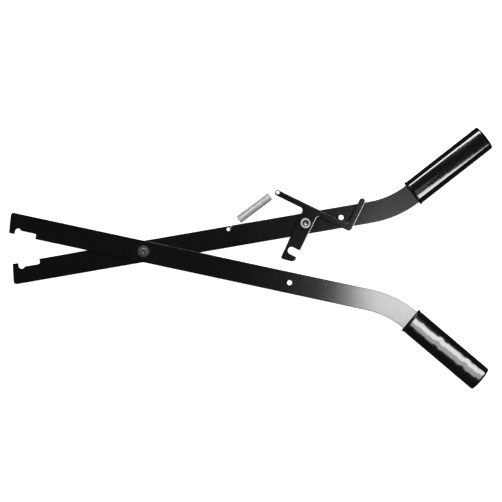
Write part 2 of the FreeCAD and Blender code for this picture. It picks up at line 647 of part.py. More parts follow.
pivot_screw = make_pivot_screw()
latch_screw = make_latch_screw()
latch_bush = make_bush()
thrust_washer = make_ring(
    "pivot_thrust_washer", "dims.thrust_radius", "dims.screw_radius", "dims.thrust_thickness")
back_washers = [
    make_ring(name, "dims.washer_radius", WASHER_BORE, "dims.washer_thickness")
    for name in ("pivot_back_washer", "latch_back_washer")
]
lock_nuts = [make_lock_nut(name) for name in ("pivot_lock_nut", "latch_lock_nut")]
nut_inserts = [make_insert(name) for name in ("pivot_nut_insert", "latch_nut_insert")]
CATCH_PIN_LENGTH = "(dims.bar_thickness + dims.latch_lift + dims.bar_thickness + dims.pin_proud)"
STOP_PIN_LENGTH = f"({CATCH_PIN_LENGTH} + dims.bar_thickness + dims.thrust_thickness + dims.running_gap)"
stop_pin = make_pin("stop_pin", STOP_PIN_LENGTH)
catch_pin = make_pin("catch_pin", CATCH_PIN_LENGTH)


# ---------------------------------------------------------------------------------------------
# Places: angles from +X, and the main pivot at x = y = 0 until the whole tool is centred
# ---------------------------------------------------------------------------------------------

BACK_ANGLE = size("lever_spread") / 2
FRONT_ANGLE = -size("lever_spread") / 2
LATCH_ANGLE = BACK_ANGLE - size("latch_turn")


def turned(angle):
    return FreeCAD.Rotation(UP, angle)


def along_back(x, y, level):
    """A place on the back lever, given along and across it."""
    return turned(BACK_ANGLE).multVec(Vector(x, y, 0)) + Vector(0, 0, level)


def along_front(x, y, level):
    """A place on the front lever, given along and across it."""
    return turned(FRONT_ANGLE).multVec(Vector(x, y, 0)) + Vector(0, 0, level)


def grip_place(side, lever_point, lever_angle, level):
    """The mouth of a grip is where the lever's bend ends, and its axis follows the tang."""
    x = number(dims, BEND_END_ALONG)
    y = side * number(dims, BEND_END_ACROSS)
    middle = level + size("bar_thickness") / 2
    return FreeCAD.Placement(lever_point(x, y, middle), turned(lever_angle + side * size("bend_angle")))


LATCH_PIVOT = along_back(size("latch_along"), 0, 0)


def at_latch(level):
    return LATCH_PIVOT + Vector(0, 0, level)


stop_point = along_back(number(dims, STOP_X), number(dims, STOP_Y), BACK_LEVEL)
catch_point = along_front(size("catch_along"), 0, FRONT_LEVEL)
level_places = [
    (back_lever, Vector(0, 0, BACK_LEVEL), BACK_ANGLE),
    (front_lever, Vector(0, 0, FRONT_LEVEL), FRONT_ANGLE),
    (latch_plate, at_latch(LATCH_LEVEL), LATCH_ANGLE),
    (pivot_screw, Vector(0, 0, PIVOT_HEAD_LEVEL), BACK_ANGLE),
    (thrust_washer, Vector(0, 0, THRUST_LEVEL), 0),
    (latch_screw, at_latch(BUSH_TOP), LATCH_ANGLE),
    (latch_bush, at_latch(THRUST_LEVEL), 0),
    (stop_pin, stop_point, 0),
    (catch_pin, catch_point, 0),
]
for stack_point, washer, nut, insert in zip(
        (Vector(0, 0, 0), LATCH_PIVOT), back_washers, lock_nuts, nut_inserts):
    level_places.append((washer, stack_point + Vector(0, 0, WASHER_LEVEL), 0))
    level_places.append((nut, stack_point, BACK_ANGLE))
    level_places.append((insert, stack_point + Vector(0, 0, size("insert_drop")), 0))
for body, point, angle in level_places:
    body.Placement = FreeCAD.Placement(point, turned(angle))
back_grip.Placement = grip_place(1, along_back, BACK_ANGLE, BACK_LEVEL)
front_grip.Placement = grip_place(-1, along_front, FRONT_ANGLE, FRONT_LEVEL)


# ---------------------------------------------------------------------------------------------
# The spring: a closed coil as one plain cylinder, and a wire at each end that turns down into a hole
# ---------------------------------------------------------------------------------------------

def bent_wire(points, radius, bend):
    """A round wire through the points, with an arc of the given radius at each inner point."""
    edges = []
    start = points[0]
    for before, corner, after in zip(points, points[1:], points[2:]):
        incoming = (corner - before).normalize()
        outgoing = (after - corner).normalize()
        turn = incoming.getAngle(outgoing)
        setback = bend * math.tan(turn / 2)
        first, last = corner - incoming * setback, corner + outgoing * setback
        inwards = (outgoing - incoming).normalize()
        centre = corner + inwards * (bend / math.cos(turn / 2))
        edges.append(Part.LineSegment(start, first).toShape())
        edges.append(Part.Arc(first, centre - inwards * bend, last).toShape())
        start = last
    edges.append(Part.LineSegment(start, points[-1]).toShape())
    path = Part.Wire(edges)
    heading = (points[1] - points[0]).normalize()
    section = Part.Wire(Part.Circle(points[0], heading, radius).toShape())
    return path.makePipeShell([section], True, True)


def make_spring():
    """The spring between the back lever's hole and the spring arm's hole, straight and at rest."""
    wire = size("wire_radius")
    clear = wire + size("running_gap")
    back_top = BACK_LEVEL + size("bar_thickness") + clear
    latch_top = LATCH_LEVEL + size("bar_thickness") + clear
    lower_hole_across = size("bar_width") / 2 - size("spring_hole_inset")
    lower_hole = along_back(size("spring_hole_along"), lower_hole_across, 0)
    arm_hole = Vector(size("arm_hole_inset") - size("spring_arm_reach"),
                      size("arm_top") - size("arm_hole_drop"), 0)
    upper_hole = LATCH_PIVOT + turned(LATCH_ANGLE).multVec(arm_hole)
    heading = (upper_hole - lower_hole).normalize()
    length = (upper_hole - lower_hole).Length
    heading_across = turned(-BACK_ANGLE).multVec(heading).y
    lower_hook = (size("spring_hole_inset") + size("coil_stand_off")) / heading_across
    offset = UP.cross(heading) * size("coil_offset")
    coil_low = lower_hole + heading * lower_hook + offset + UP * (back_top + size("coil_lift"))
    arm_middle = LATCH_LEVEL + size("bar_thickness") / 2
    coil_high = upper_hole - heading * size("upper_hook") + offset + UP * arm_middle
    coil_axis = coil_high - coil_low
    coil_length = coil_axis.Length
    coil = Part.makeCylinder(size("coil_radius"), coil_length, coil_low, coil_axis)
    inside = coil_axis / coil_length * wire
    lower_wire = bent_wire([
        coil_low + inside,
        lower_hole + UP * back_top,
        lower_hole + UP * (BACK_LEVEL - size("wire_tail")),
    ], wire, size("wire_bend"))
    over_edge = upper_hole - heading * size("arm_step") + UP * latch_top
    upper_wire = bent_wire([
        coil_high - inside,
        over_edge,
        upper_hole + UP * latch_top,
        upper_hole + UP * (LATCH_LEVEL - size("wire_tail")),
    ], wire, size("wire_bend"))
    spring = doc.addObject("Part::Feature", "latch_spring")
    spring.Label = "latch_spring"
    spring.Shape = coil.fuse([lower_wire, upper_wire]).removeSplitter()
    print(f"spring from hole to hole {length:.2f} mm, coil {coil_length:.2f} mm, hook {lower_hook:.2f} mm")
    return spring


latch_spring = make_spring()
pieces = [
    back_lever, front_lever, back_grip, front_grip, pivot_screw, thrust_washer, latch_plate, latch_bush,
    latch_screw, stop_pin, catch_pin, latch_spring, *back_washers, *lock_nuts, *nut_inserts,
]
doc.recompute()


# ---------------------------------------------------------------------------------------------
# Centre the tool on the origin, check every piece and write it
# ---------------------------------------------------------------------------------------------

def overall_box(shapes):
    box = FreeCAD.BoundBox()
    for shape in shapes:
        box.add(shape.optimalBoundingBox(False, False))
    return box


box = overall_box([piece.Shape for piece in pieces])
centring = Vector(-box.Center.x, -box.Center.y, -box.ZMin)
for piece in pieces:
    piece.Placement = FreeCAD.Placement(centring, FreeCAD.Rotation()).multiply(piece.Placement)
doc.recompute()

failed = [item.Label for item in doc.Objects if "Invalid" in item.State or "Error" in item.State]
if failed:
    raise ValueError(f"failed objects: {failed}")
for piece in pieces:
    shape = piece.Shape
    if shape.isNull() or not shape.isValid() or len(shape.Solids) != 1:
        raise ValueError(f"{piece.Label}: solids {len(shape.Solids)}, valid {shape.isValid()}")

os.makedirs(OUT_DIR, exist_ok=True)
for piece in pieces:
    piece.Shape.exportStep(os.path.join(OUT_DIR, f"{piece.Label}.step"))
    print(f"{piece.Label}: {piece.Shape.Volume:.1f} mm3")
print(f"outer box {box.XLength:.2f} x {box.YLength:.2f} x {box.ZLength:.2f} mm")
print(f"main pivot at {centring.x:.3f}, {centring.y:.3f}")
latch_place = LATCH_PIVOT + centring
print(f"latch pivot at {latch_place.x:.3f}, {latch_place.y:.3f}")
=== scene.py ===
# %% [markdown]
# # Latching lever tongs
# Two flat-bar levers cross on one screw. Hooked jaws face each other at one end, bent handles with
# slipped-on grips stand at the other, and a sprung latch plate locks the handles together.
# The engineering model already carries levers, latch, pins, washers and nuts in the right places. This
# lesson loads it, makes the pieces whose look needs more than that (grips, coil spring and the two
# screws), gives everything a finish, and lights it like a catalogue picture taken from straight above.

# %% Open the engineering model
import math

import bpy
import numpy as np
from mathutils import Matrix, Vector


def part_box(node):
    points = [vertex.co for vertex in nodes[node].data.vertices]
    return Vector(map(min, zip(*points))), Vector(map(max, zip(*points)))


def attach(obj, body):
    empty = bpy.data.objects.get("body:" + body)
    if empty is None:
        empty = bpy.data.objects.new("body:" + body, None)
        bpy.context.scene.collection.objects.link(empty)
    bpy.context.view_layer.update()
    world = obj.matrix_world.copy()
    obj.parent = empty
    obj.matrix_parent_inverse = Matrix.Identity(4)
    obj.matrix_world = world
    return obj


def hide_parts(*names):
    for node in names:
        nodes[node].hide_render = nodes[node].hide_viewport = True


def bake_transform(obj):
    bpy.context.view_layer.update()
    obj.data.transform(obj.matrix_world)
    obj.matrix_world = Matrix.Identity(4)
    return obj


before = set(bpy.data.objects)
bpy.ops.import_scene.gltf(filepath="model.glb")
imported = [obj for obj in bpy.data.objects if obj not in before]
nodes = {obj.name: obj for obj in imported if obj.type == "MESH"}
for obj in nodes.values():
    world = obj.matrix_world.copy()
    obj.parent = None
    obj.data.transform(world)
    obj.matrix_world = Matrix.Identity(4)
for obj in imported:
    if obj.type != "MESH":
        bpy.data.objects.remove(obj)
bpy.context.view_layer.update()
MM = 0.001

# %% [markdown]
# ## The few sizes that the new pieces share with the model
# Angles are measured from the tool's long axis. The pivots' places are read from the screws' own boxes,
# so a new piece always starts from where the model says its neighbours are.

# %% Shared sizes
BACK_ANGLE = math.radians(10.95)
FRONT_ANGLE = math.radians(-10.95)
LATCH_ANGLE = math.radians(-24.95)
BEND_ANGLE = math.radians(28.2)
BAR_WIDTH = 31.75 * MM
BAR_THICKNESS = 4.76 * MM


def box_middle(name):
    """Middle of a model piece's box at rest: (low + high) / 2."""
    low, high = (np.array(corner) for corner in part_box(name))
    return (low + high) / 2


def heading(angle):
    """Unit vector in the plane of the floor: (cos a, sin a, 0)."""
    return np.array([math.cos(angle), math.sin(angle), 0.0])


UP = np.array([0.0, 0.0, 1.0])
main_pivot = box_middle("pivot_screw")
latch_pivot = box_middle("latch_screw")
print("main pivot", np.round(main_pivot / MM, 2), "latch pivot", np.round(latch_pivot / MM, 2))

# %% [markdown]
# ## Turning rings of points into skins
# Every new piece is a stack of closed rings, row after row along the piece. The rings are computed whole
# with array formulas and joined by four-sided faces. A closed end is one more ring shrunk to a point.
# The same helper serves the grips, the wire and the screws, so seams and normals are right once for all.

# %% Mesh helpers
def ring_faces(rows, columns):
    """Quads between ring r and r + 1, wrapping in c.

    The corners are (r, c), (r, c + 1), (r + 1, c + 1) and (r + 1, c).
    """
    row, column = np.meshgrid(np.arange(rows - 1), np.arange(columns), indexing="ij")
    following = (column + 1) % columns
    quads = np.stack([row * columns + column, row * columns + following,
                      (row + 1) * columns + following, (row + 1) * columns + column], axis=-1)
    return quads.reshape(-1, 4)


def skin(name, rings):
    """A closed smooth skin through rings of shape (rows, columns, 3), pointed at the middle of each end.

    The two end points are the averages of the first and of the last ring. Rings run anticlockwise seen
    against the direction of the rows, so that the faces look outwards.
    """
    rows, columns, _ = rings.shape
    points = np.concatenate([rings.reshape(-1, 3), rings[0].mean(0)[None], rings[-1].mean(0)[None]])
    quads = ring_faces(rows, columns)
    around = np.arange(columns)
    following = (around + 1) % columns
    first, last = rows * columns, rows * columns + 1
    start_fan = np.stack([np.full(columns, first), following, around], axis=-1)
    end_row = (rows - 1) * columns
    end_fan = np.stack([np.full(columns, last), end_row + around, end_row + following], axis=-1)
    mesh = bpy.data.meshes.new(name)
    corners = np.concatenate([quads.ravel(), start_fan.ravel(), end_fan.ravel()])
    totals = np.concatenate([np.full(len(quads), 4), np.full(2 * columns, 3)])
    mesh.vertices.add(len(points))
    mesh.vertices.foreach_set("co", points.astype(np.float32).ravel())
    mesh.loops.add(len(corners))
    mesh.loops.foreach_set("vertex_index", corners.astype(np.int32))
    mesh.polygons.add(len(totals))
    mesh.polygons.foreach_set("loop_start", (np.cumsum(totals) - totals).astype(np.int32))
    mesh.polygons.foreach_set("use_smooth", np.ones(len(totals), dtype=bool))
    mesh.update(calc_edges=True)
    mesh.validate()
    made = bpy.data.objects.new(name, mesh)
    bpy.context.collection.objects.link(made)
    print(f"{name}: {len(points)} points, {len(quads) * 2 + columns * 2} triangles")
    return made


def tube_rings(path, radius, side, columns):
    """Rings of a round wire: p(i) + r (n cos t + b sin t); n = unit(side x tangent), b = tangent x n."""
    tangent = np.gradient(path, axis=0)
    tangent /= np.linalg.norm(tangent, axis=1, keepdims=True)
    normal = np.cross(side, tangent)
    normal /= np.linalg.norm(normal, axis=1, keepdims=True)
    binormal = np.cross(tangent, normal)
    turn = np.linspace(0, 2 * np.pi, columns, endpoint=False)[None, :, None]
    return path[:, None] + radius * (normal[:, None] * np.cos(turn) + binormal[:, None] * np.sin(turn))


# %% [markdown]
# ## Grips
# The real grips are dipped or pulled-on soft plastic sleeves: an oval section, wide across the bar and
# shallow through it, with a rolled lip at the mouth and a rounded blind end.
# The section is four arcs that meet smoothly, walked at even steps, and each ring is that section moved
# outwards along its own normals by a profile. The lip, the end rounding and a slight waviness from the
# mould are all part of the profile, which keeps the surface continuous under glossy reflections.

# %% Grip section and profile
GRIP_LENGTH = 138.1 * MM
GRIP_HALF_WIDTH = 19.4 * MM
GRIP_HALF_HEIGHT = 9.05 * MM
GRIP_CROWN_RISE = 0.55 * MM
GRIP_SIDE_RADIUS = GRIP_HALF_HEIGHT - GRIP_CROWN_RISE
LIP_RISE = 1.2 * MM
LIP_LENGTH = 2.6 * MM
END_RADIUS = 2.6 * MM
END_BULGE = 1.9 * MM
SLEEVE_DEPTH = 118.0 * MM
SECTION_POINTS = 144
BEAD_ROWS = 12
BODY_ROWS = 150
SHOULDER_ROWS = 14
CAP_ROWS = 16
BEAD_START = 0.12 * math.pi
LIP_FOOT = 0.5 * MM
SHOULDER_TURN = (0.08, 1.25)
CAP_SHRINK = (0.06, 0.98)
# how often a wave goes round the sleeve, and how often along it
WAVES = ((1, 2.0), (2, 3.2), (3, 5.1), (2, 8.3), (4, 11.0))
WAVE_STRENGTH = (0.5, 1.0)
WAVE_FALL = 0.25
WAVE_FADE = 12.0 * MM
# the mouth's rows between the pocket and the lip: share of the lip, and depth
MOUTH_BLEND = (0.0, 0.5, 0.82, 1.0)
MOUTH_DEPTH = (0.9, 0.35, 0.08, 0.0)
MOUTH_LIP_SHARE = 0.3
POCKET_SPREAD = 3.0


def oval_section(count):
    """Points and outward normals of the oval, anticlockwise seen from its blind end.

    Two shallow crowns of radius R about (0, -d) and (0, d), and two narrow sides of radius r about
    (-c, 0) and (c, 0); d = (c^2 - h^2) / 2h with h = height - r makes them touch smoothly. A point at
    angle t has the normal (cos t, sin t) and lies at that arc's centre + radius x normal.
    """
    centre = GRIP_HALF_WIDTH - GRIP_SIDE_RADIUS
    drop = (centre ** 2 - GRIP_CROWN_RISE ** 2) / (2 * GRIP_CROWN_RISE)
    crown = GRIP_HALF_HEIGHT + drop
    meeting = math.atan2(drop, centre)
    corner_angles = np.array([-meeting, meeting, np.pi - meeting, np.pi + meeting, 2 * np.pi - meeting])
    radii = np.array([GRIP_SIDE_RADIUS, crown, GRIP_SIDE_RADIUS, crown])
    centres = np.array([[centre, 0], [0, -drop], [-centre, 0], [0, drop]])
    arc_lengths = radii * np.diff(corner_angles)
    reached = np.concatenate([[0], np.cumsum(arc_lengths)])
    walk = np.linspace(0, reached[-1], count, endpoint=False)
    arc = np.clip(np.searchsorted(reached, walk, side="right") - 1, 0, 3)
    angle = corner_angles[arc] + (walk - reached[arc]) / radii[arc]
    normals = np.stack([np.cos(angle), np.sin(angle)], axis=-1)
    return centres[arc] + radii[arc][:, None] * normals, normals


def grip_profile():
    """Rows of (distance from the mouth, growth of the section, scale of the section) along the sleeve.

    Lip: growth g(t) = rise sin t over a rounded bead. Blind end: growth -R (1 - cos t) while the row
    advances by R sin t, then scale 1 - s with a shallow cap of height bulge (1 - (1 - s)^2).
    """
    bead = np.linspace(BEAD_START, np.pi, BEAD_ROWS)
    lip = np.stack([LIP_LENGTH * (0.5 - 0.5 * np.cos(bead)), LIP_RISE * np.sin(bead),
                    np.ones(BEAD_ROWS)], axis=-1)
    straight_end = GRIP_LENGTH - END_BULGE - END_RADIUS
    straight = np.linspace(LIP_LENGTH + LIP_FOOT, straight_end, BODY_ROWS)
    body = np.stack([straight, np.zeros(BODY_ROWS), np.ones(BODY_ROWS)], axis=-1)
    turn = np.linspace(*SHOULDER_TURN, SHOULDER_ROWS)
    shoulder = np.stack([straight_end + END_RADIUS * np.sin(turn), -END_RADIUS * (1 - np.cos(turn)),
                         np.ones(SHOULDER_ROWS)], axis=-1)
    shrink = np.linspace(*CAP_SHRINK, CAP_ROWS)
    cap_start = shoulder[-1, 0]
    cap_rise = GRIP_LENGTH - cap_start
    cap = np.stack([cap_start + cap_rise * (1 - (1 - shrink) ** 2),
                    np.full(CAP_ROWS, shoulder[-1, 1]), 1 - shrink], axis=-1)
    return np.concatenate([lip, body, shoulder, cap])


def mould_waves(distance, angle, seed, height):
    """A few slow waves: sum of a_k sin(f_k x + m_k t + phase), with x along and t around the sleeve."""
    random = np.random.default_rng(seed)
    waves = np.zeros(np.broadcast(distance, angle).shape)
    for around, along in WAVES:
        strength = random.uniform(*WAVE_STRENGTH) / (1 + WAVE_FALL * along)
        phase = random.uniform(0, 2 * np.pi)
        waves += strength * np.sin(2 * np.pi * along * distance / GRIP_LENGTH + around * angle + phase)
    return height * waves


def make_grip(name, node, body, angle, seed, wave_height):
    """The sleeve's outside, its mouth and the flat pocket round the bar, placed along the handle.

    Local axes: along the handle, across it and up; a point is origin + along x + across y + up z.
    """
    section, normals = oval_section(SECTION_POINTS)
    around = np.arctan2(normals[:, 1], normals[:, 0])
    rows = grip_profile()
    fade = np.clip(rows[:, 0] / WAVE_FADE, 0, 1) * np.clip((GRIP_LENGTH - rows[:, 0]) / WAVE_FADE, 0, 1)
    growth = rows[:, 1][:, None] + (
        mould_waves(rows[:, 0][:, None], around[None], seed, wave_height) * fade[:, None])
    outside = section[None] * rows[:, 2][:, None, None] + normals[None] * growth[..., None]
    half_bar = np.array([BAR_WIDTH, BAR_THICKNESS]) / 2
    pocket = np.clip(section * POCKET_SPREAD, -half_bar, half_bar)
    blend = np.array(MOUTH_BLEND)[:, None, None]
    lip_edge = section + MOUTH_LIP_SHARE * LIP_RISE * normals
    mouth = pocket[None] * (1 - blend) + lip_edge[None] * blend
    across_up = np.concatenate([pocket[None], mouth, outside])
    distance = np.concatenate([[SLEEVE_DEPTH], np.array(MOUTH_DEPTH) * MM, rows[:, 0]])
    low, high = (np.array(corner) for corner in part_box(node))
    along, across = heading(angle), heading(angle + np.pi / 2)
    flat = np.empty(len(nodes[node].data.vertices) * 3)
    nodes[node].data.vertices.foreach_get("co", flat)
    flat = flat.reshape(-1, 3)
    origin = along * (flat @ along).min() + across * ((flat @ across).min() + (flat @ across).max()) / 2
    origin[2] = (low[2] + high[2]) / 2
    rings = (origin + along * distance[:, None, None]
             + across * across_up[..., 0][..., None] + UP * across_up[..., 1][..., None])
    grip = skin(name, rings)
    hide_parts(node)
    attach(grip, body)
    return grip


back_grip = make_grip(
    "back_handle_grip", "back_grip", "back", BACK_ANGLE + BEND_ANGLE, seed=4, wave_height=0.01 * MM)
front_grip = make_grip(
    "front_handle_grip", "front_grip", "front", FRONT_ANGLE - BEND_ANGLE, seed=9, wave_height=0.05 * MM)

# %% [markdown]
# ## Coil spring
# The real spring is close-wound bright wire whose last turns bend to the middle and run out as long
# hooks; each hook dips through a hole. It is made from one helix and two rounded paths, all swept with
# the same round wire. The coil stands a little outside the straight line from hole to hole. The spring
# hangs between the back lever and the latch.

# %% Spring
WIRE_RADIUS = 0.56 * MM
COIL_RADIUS = 6.2 * MM
COIL_OFFSET = 2.3 * MM
LOWER_HOOK = 20.0 * MM
UPPER_HOOK = 12.0 * MM
COIL_LIFT = 1.2 * MM
SPRING_HOLE = np.array([129.2, 11.0]) * MM
ARM_HOLE = np.array([-56.3, 23.4]) * MM
STEPS_PER_TURN = 22
TURN_PITCH = 2.04 * WIRE_RADIUS
WIRE_COLUMNS = 10
WIRE_CLEARANCE = 0.06 * MM
PATH_STEP = 0.5 * MM
BEND_STEPS = 10
BEND_SHARE = 0.45
HOOK_TAIL = 2.2 * MM
HOOK_BEND = 1.6 * MM
ARM_STEP = 6.5 * MM


def rounded_path(corners, bend, step):
    """A path through corners with each inner corner rounded.

    Between the setback points p0 and p2 round p1 it is (1 - t)^2 p0 + 2 t (1 - t) p1 + t^2 p2; straight
    runs are walked at even steps.
    """
    pieces = []
    start = corners[0]
    for before, corner, after in zip(corners, corners[1:], corners[2:]):
        incoming = (corner - before) / np.linalg.norm(corner - before)
        outgoing = (after - corner) / np.linalg.norm(after - corner)
        room = min(bend, BEND_SHARE * np.linalg.norm(corner - before),
                   BEND_SHARE * np.linalg.norm(after - corner))
        first, last = corner - incoming * room, corner + outgoing * room
        count = max(2, int(np.linalg.norm(first - start) / step))
        pieces.append(np.linspace(start, first, count, endpoint=False))
        t = np.linspace(0, 1, BEND_STEPS, endpoint=False)[:, None]
        pieces.append((1 - t) ** 2 * first + 2 * t * (1 - t) * corner + t ** 2 * last)
        start = last
    count = max(2, int(np.linalg.norm(corners[-1] - start) / step))
    pieces.append(np.linspace(start, corners[-1], count))
    return np.concatenate(pieces)


def flat_place(origin, angle, place, height):
    """A place given along and across a turned piece: origin + along x + across y, at a height."""
    point = origin + heading(angle) * place[0] + heading(angle + np.pi / 2) * place[1]
    return np.array([point[0], point[1], height])


back_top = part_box("back_lever")[1][2]
back_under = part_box("back_lever")[0][2]
latch_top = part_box("latch_plate")[1][2]
latch_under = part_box("latch_plate")[0][2]
wire_on_back = back_top + WIRE_RADIUS + WIRE_CLEARANCE
wire_on_latch = latch_top + WIRE_RADIUS + WIRE_CLEARANCE
lower_hole = flat_place(main_pivot, BACK_ANGLE, SPRING_HOLE, wire_on_back)
upper_hole = flat_place(latch_pivot, LATCH_ANGLE, ARM_HOLE, wire_on_latch)
level_run = (upper_hole - lower_hole) * np.array([1.0, 1.0, 0.0])
level_run /= np.linalg.norm(level_run)
lateral = np.cross(UP, level_run)
coil_low = lower_hole + level_run * LOWER_HOOK + lateral * COIL_OFFSET + UP * COIL_LIFT
coil_high = upper_hole - level_run * UPPER_HOOK + lateral * COIL_OFFSET
coil_high[2] = (latch_top + latch_under) / 2
axis = coil_high - coil_low
coil_length = np.linalg.norm(axis)
axis /= coil_length
coil_up = np.cross(axis, lateral)


def make_spring():
    """Helix p(t) = start + axis pitch t / 2 pi + R (up cos t + lateral sin t), and a hook at each end.

    The mean radius R shrinks to nothing over the last half turn at each end, which brings the wire to the
    coil's middle where its hook starts.
    """
    mean_radius = COIL_RADIUS - WIRE_RADIUS
    turns = round((coil_length - 2 * WIRE_RADIUS) / TURN_PITCH)
    t = np.linspace(0, 2 * np.pi * turns, turns * STEPS_PER_TURN + 1)
    from_end = np.minimum(t, t[-1] - t)
    radius = mean_radius * np.sin(np.clip(from_end / np.pi, 0, 1) * np.pi / 2)
    drift = WIRE_RADIUS + (coil_length - 2 * WIRE_RADIUS) * t / t[-1]
    helix = (coil_low + axis * drift[:, None]
             + radius[:, None] * (coil_up * np.cos(t)[:, None] + lateral * np.sin(t)[:, None]))
    over_edge = upper_hole - level_run * ARM_STEP
    lower_path = rounded_path([
        coil_low + axis * WIRE_RADIUS * 2,
        lower_hole,
        lower_hole - UP * (wire_on_back - back_under + HOOK_TAIL),
    ], HOOK_BEND, PATH_STEP)
    upper_path = rounded_path([
        coil_high - axis * WIRE_RADIUS * 2,
        over_edge,
        upper_hole,
        upper_hole - UP * (wire_on_latch - latch_under + HOOK_TAIL),
    ], HOOK_BEND, PATH_STEP)
    made = []
    for label, path, side in (("coil", helix, axis), ("lower_hook", lower_path, lateral),
                              ("upper_hook", upper_path, lateral)):
        made.append(skin(f"spring_{label}", tube_rings(path, WIRE_RADIUS, side, WIRE_COLUMNS)))
    return made


spring_pieces = make_spring()
for piece in spring_pieces:
    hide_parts("latch_spring")
    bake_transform(piece)

# %% [markdown]
# ## Screws
# The main pivot is a button head screw and the latch turns on a socket head screw with a knurled side.
# Both heads are bodies of revolution with a hexagonal hole. One family of rings covers head, rim and
# socket: the radius as a function of the angle turns from a circle into a hexagon as the rows go inwards.

# %% Screw heads
HEAD_POINTS = 240
HEX_SIDES = 6
KNURL_RIDGES = 60
DOME_ROWS = 26
DOME_START = 0.012


def hexagon_radius(angle, half_flats):
    """Distance to a hexagon's side: half_flats / cos(a), a being the angle from the nearest flat."""
    nearest = (angle + np.pi / HEX_SIDES) % (2 * np.pi / HEX_SIDES) - np.pi / HEX_SIDES
    return half_flats / np.cos(nearest)


def knurl_ridges(angle, rows_per_turn, depth):
    """Straight knurling: depth x |sin(n a / 2)| taken off the radius."""
    return depth * (1 - np.abs(np.sin(rows_per_turn * angle / 2)))


def make_screw(name, node, body, place, turn, outline, socket, shank):
    """Rings from the shank's end up the side, over the head and down into the socket.

    shank and outline rows are (radius, height, knurl depth); socket rows are (half width over flats,
    height, how round the row is from 0, a hexagon, to 1, a circle).
    """
    angle = np.linspace(0, 2 * np.pi, HEAD_POINTS, endpoint=False)
    rings = []
    for radius, height, knurl in shank + outline:
        reach = radius - knurl_ridges(angle, KNURL_RIDGES, knurl)
        rings.append((reach, height))
    for half_flats, height, roundness in socket:
        six = hexagon_radius(angle - turn, half_flats)
        rings.append((six * (1 - roundness) + half_flats * roundness, height))
    reach = np.array([ring[0] for ring in rings])
    height = np.array([ring[1] for ring in rings])
    points = np.empty((len(rings), HEAD_POINTS, 3))
    points[..., 0] = place[0] + reach * np.cos(angle)
    points[..., 1] = place[1] + reach * np.sin(angle)
    points[..., 2] = height[:, None]
    made = skin(name, points)
    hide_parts(node)
    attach(made, body)
    return made


def dome_rows(radius, rim, height, base, inner):
    """Rows of a button head: base, rim with a small rounding, then the sphere r^2 + (z - c)^2 = S^2."""
    sphere_drop = (radius ** 2 - (height - rim) ** 2) / (2 * (height - rim))
    sphere = math.hypot(radius, sphere_drop)
    across = radius - (radius - inner) * np.linspace(DOME_START, 1, DOME_ROWS)
    over = base + rim - sphere_drop + np.sqrt(sphere ** 2 - across ** 2)
    rim_rows = [(radius - 0.35 * MM, base, 0.0), (radius - 0.1 * MM, base + 0.1 * MM, 0.0),
                (radius, base + 0.35 * MM, 0.0), (radius, base + rim - 0.1 * MM, 0.0)]
    return rim_rows + [(r, z, 0.0) for r, z in zip(across, over)]


THREAD_PITCH = 1.5 * MM
THREAD_DEPTH = 0.12 * MM
THREAD_LENGTH = 9.0 * MM
THREAD_START = 0.8 * MM
THREAD_RUN_OUT = 0.2 * MM
THREAD_ROWS = 44
# distance inside the shank's radius, height above its end
SHANK_END = ((1.0, 0.0), (0.25, 0.7))


def shank_rows(radius, bottom, base):
    """A shank with a chamfered end and a fine thread: radius - depth |sin(pi z / pitch)|."""
    levels = np.linspace(THREAD_START, THREAD_LENGTH, THREAD_ROWS)
    thread = radius - THREAD_DEPTH * np.abs(np.sin(np.pi * levels / THREAD_PITCH))
    rows = [(radius - inset * MM, bottom + rise * MM, 0.0) for inset, rise in SHANK_END]
    rows += [(r, bottom + z, 0.0) for r, z in zip(thread, levels)]
    return rows + [(radius, bottom + THREAD_LENGTH + THREAD_RUN_OUT, 0.0), (radius, base, 0.0)]


SCREW_RADIUS = 4.98 * MM
BUTTON_RADIUS = 9.0 * MM
BUTTON_HEIGHT = 5.5 * MM
BUTTON_RIM = 0.8 * MM
BUTTON_OPENING = 3.7 * MM
BUTTON_TURN = math.radians(20)
# half width over the flats in mm, height from the opening's edge in mm, roundness
BUTTON_HOLE = ((3.25, 0.02, 0.35), (3.05, -0.25, 0.0), (3.0, -0.5, 0.0), (3.0, -3.0, 0.0),
               (2.4, -3.3, 0.2), (0.3, -4.1, 1.0))
pivot_low, pivot_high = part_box("pivot_screw")
button_base = pivot_high[2] - BUTTON_HEIGHT
button_rows = dome_rows(BUTTON_RADIUS, BUTTON_RIM, BUTTON_HEIGHT, button_base, BUTTON_OPENING)
opening_height = button_rows[-1][1]
button_hole = [(flats * MM, opening_height + rise * MM, roundness)
               for flats, rise, roundness in BUTTON_HOLE]
pivot_screw = make_screw(
    "pivot_button_screw", "pivot_screw", "back", main_pivot, BUTTON_TURN, button_rows, button_hole,
    shank_rows(SCREW_RADIUS, pivot_low[2], button_base))

SOCKET_HEAD_HEIGHT = 10.0 * MM
KNURL_DEPTH = 0.25 * MM
KNURL_LEVELS = (1.2 * MM, SOCKET_HEAD_HEIGHT - 1.9 * MM, 6)
# radius and height in mm: from the head's base up, then from its top down
HEAD_FOOT = ((7.7, 0.0), (8.0, 0.3), (8.0, 1.0))
HEAD_TOP = ((8.0, 1.5), (7.9, 0.8), (7.55, 0.3), (7.05, 0.04), (6.7, 0.0), (5.1, 0.0))
HEAD_RADIUS = 8.0 * MM
